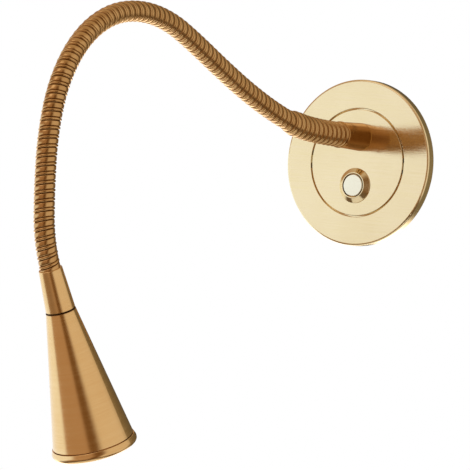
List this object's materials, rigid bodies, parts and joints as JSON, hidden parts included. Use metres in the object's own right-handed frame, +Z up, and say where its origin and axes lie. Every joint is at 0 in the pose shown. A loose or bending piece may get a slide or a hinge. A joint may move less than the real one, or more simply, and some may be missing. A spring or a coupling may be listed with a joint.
{
  "type": "wall reading lamp",
  "caption": "Bedside wall reading lamp: flush round brass plate with push switch, long ribbed gooseneck and a slim cone-shaped reading head.",
  "frame": {"origin": "centre of the wall plate, in the wall plane", "axes": "+Z up, -Y out of the wall towards the room, +X to the right seen from the room"},
  "size_m": [0.085, 0.3087, 0.2217],
  "materials": {
    "satin_brass": "satin brushed, lacquered",
    "polished_brass": "polished",
    "bronze_neck": "satin, brushed round the rib",
    "turned_brass": "as turned",
    "zinc_steel": "zinc plated",
    "housing_plastic": "moulded",
    "black_plastic": "moulded, fine grain",
    "rubber": "matt",
    "cable_sheath": "smooth",
    "circuit_board": "solder mask",
    "white_board": "white solder mask",
    "aluminium": "as machined",
    "terminal_plastic": "moulded",
    "phosphor": "silicone over phosphor",
    "clear_lens": "moulded, polished"
  },
  "bodies": {
    "base": {"cable_grommet": "rubber", "collar": "satin_brass", "collar_nut": "zinc_steel", "collar_washer": "zinc_steel", "driver_board": "circuit_board", "driver_capacitor": "aluminium", "driver_housing": "housing_plastic", "driver_screws": "zinc_steel", "driver_transformer": "black_plastic", "face_disc": "satin_brass", "housing_screws": "zinc_steel", "mains_terminal_block": "terminal_plastic", "mounting_frame": "zinc_steel", "neck_cable_1": "cable_sheath", "neck_flex_1": "bronze_neck", "neck_root_nipple": "turned_brass", "neck_root_section": "bronze_neck", "outer_ring": "satin_brass", "ring_grub_screws": "zinc_steel", "switch_barrel": "polished_brass", "switch_blades": "turned_brass", "switch_body": "black_plastic", "switch_leads": "cable_sheath", "switch_nut": "zinc_steel", "switch_spring": "zinc_steel", "terminal_screws": "zinc_steel"},
    "push_button": {"switch_cap": "polished_brass"},
    "neck_1": {"neck_section_1": "bronze_neck", "neck_flex_2": "bronze_neck", "neck_cable_2": "cable_sheath"},
    "neck_2": {"neck_section_2": "bronze_neck", "neck_flex_3": "bronze_neck", "neck_cable_3": "cable_sheath"},
    "neck_3": {"neck_section_3": "bronze_neck", "neck_flex_4": "bronze_neck", "neck_cable_4": "cable_sheath"},
    "neck_4": {"neck_section_4": "bronze_neck", "neck_flex_5": "bronze_neck", "neck_cable_5": "cable_sheath"},
    "neck_5": {"neck_section_5": "bronze_neck", "neck_flex_6": "bronze_neck", "neck_cable_6": "cable_sheath"},
    "head": {"neck_section_6": "bronze_neck", "head_nipple": "turned_brass", "head_sleeve": "satin_brass", "cone_shade": "satin_brass", "bezel_ring": "satin_brass", "heat_sink": "aluminium", "led_board": "white_board", "led_board_screws": "zinc_steel", "led_emitter": "phosphor", "lens": "clear_lens", "lens_holder": "black_plastic", "lens_gasket": "rubber"}
  },
  "joints": [
    {"name": "neck_swing_1", "type": "hinge", "parent": "base", "child": "neck_1", "pos_m": [0, -0.08599, 0.02015], "axis": [0, 0.2672, 0.9636], "range_deg": [-35, 35], "deforming": ["neck_flex_1", "neck_cable_1"]},
    {"name": "neck_bend_1", "type": "hinge", "parent": "neck_1", "child": "neck_2", "pos_m": [0, -0.13416, 0.03682], "axis": [-1, 0, 0], "range_deg": [-30, 30], "deforming": ["neck_flex_2", "neck_cable_2"]},
    {"name": "neck_swing_2", "type": "hinge", "parent": "neck_2", "child": "neck_3", "pos_m": [0, -0.18155, 0.05562], "axis": [0, 0.2945, 0.9557], "range_deg": [-35, 35], "deforming": ["neck_flex_3", "neck_cable_3"]},
    {"name": "neck_bend_2", "type": "hinge", "parent": "neck_3", "child": "neck_4", "pos_m": [0, -0.23188, 0.05787], "axis": [-1, 0, 0], "range_deg": [-30, 30], "deforming": ["neck_flex_4", "neck_cable_4"]},
    {"name": "neck_swing_3", "type": "hinge", "parent": "neck_4", "child": "neck_5", "pos_m": [0.00003, -0.27113, 0.02765], "axis": [0.0004, -0.8757, 0.4829], "range_deg": [-35, 35], "deforming": ["neck_flex_5", "neck_cable_5"]},
    {"name": "neck_bend_3", "type": "hinge", "parent": "neck_5", "child": "head", "pos_m": [0.00219, -0.28179, -0.02166], "axis": [-0.997, -0.0191, -0.0749], "range_deg": [-35, 35], "deforming": ["neck_flex_6", "neck_cable_6"]},
    {"name": "button_press", "type": "slide", "parent": "base", "child": "push_button", "axis": [0, 1, 0], "range_m": [0, 0.0015], "stiffness_N_per_m": 800, "springref_m": -0.001, "deforming": ["switch_spring"]}
  ]
}
